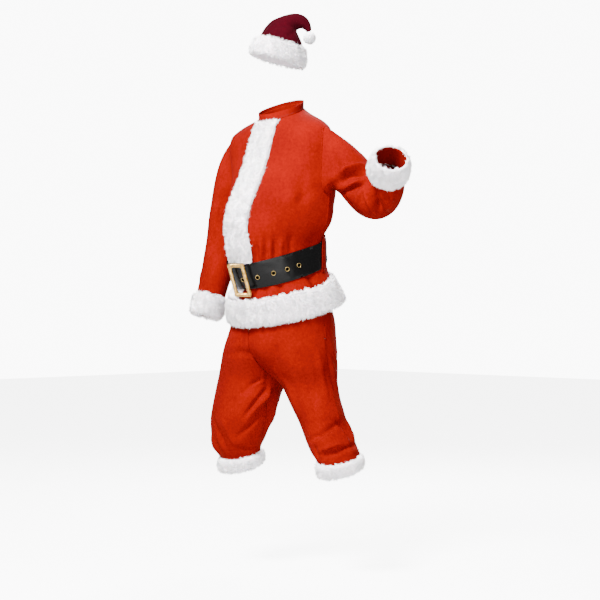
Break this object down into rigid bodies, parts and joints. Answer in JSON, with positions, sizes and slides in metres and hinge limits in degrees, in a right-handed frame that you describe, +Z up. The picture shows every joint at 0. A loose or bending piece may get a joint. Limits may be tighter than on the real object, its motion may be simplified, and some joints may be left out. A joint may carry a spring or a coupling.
{
  "type": "santa suit",
  "caption": "Red fleece jacket, knee-length baggy trousers and bobble hat, trimmed with white plush and belted at the waist with a framed buckle; hollow, as worn, one arm raised.",
  "frame": {"origin": "middle of the neck opening, where the wearer's shoulders carry the suit", "axes": "+Z up, the wearer faces -Y, the wearer's left is +X"},
  "size_m": [0.8706, 0.4497, 1.5461],
  "materials": {
    "red_fleece": "brushed polyester fleece, soft and matt with a faint nap",
    "crimson_fleece": "deep crimson brushed polyester fleece",
    "white_plush": "short soft white plush pile",
    "black_vinyl": "glossy black imitation leather",
    "pale_gold": "pale gold plated casting with roped bars",
    "antique_brass": "antique brass plated eyelets"
  },
  "bodies": {
    "root": {"belt": "black_vinyl", "belt_loop_left": "red_fleece", "belt_loop_right": "red_fleece", "buckle": "pale_gold", "cuff_fur_left": "white_plush", "cuff_fur_right": "white_plush", "eyelet_1": "antique_brass", "eyelet_2": "antique_brass", "eyelet_3": "antique_brass", "eyelet_4": "antique_brass", "eyelet_5": "antique_brass", "front_fur": "white_plush", "hat_crown": "crimson_fleece", "hat_fur": "white_plush", "hem_fur": "white_plush", "jacket_back": "red_fleece", "jacket_front_left": "red_fleece", "jacket_front_right": "red_fleece", "leg_fur_left": "white_plush", "leg_fur_right": "white_plush", "neckband": "red_fleece", "pompom": "white_plush", "sleeve_left": "red_fleece", "sleeve_right": "red_fleece", "trouser_left_back": "red_fleece", "trouser_left_front": "red_fleece", "trouser_right_back": "red_fleece", "trouser_right_front": "red_fleece", "trouser_waistband": "red_fleece"}
  },
  "joints": []
}
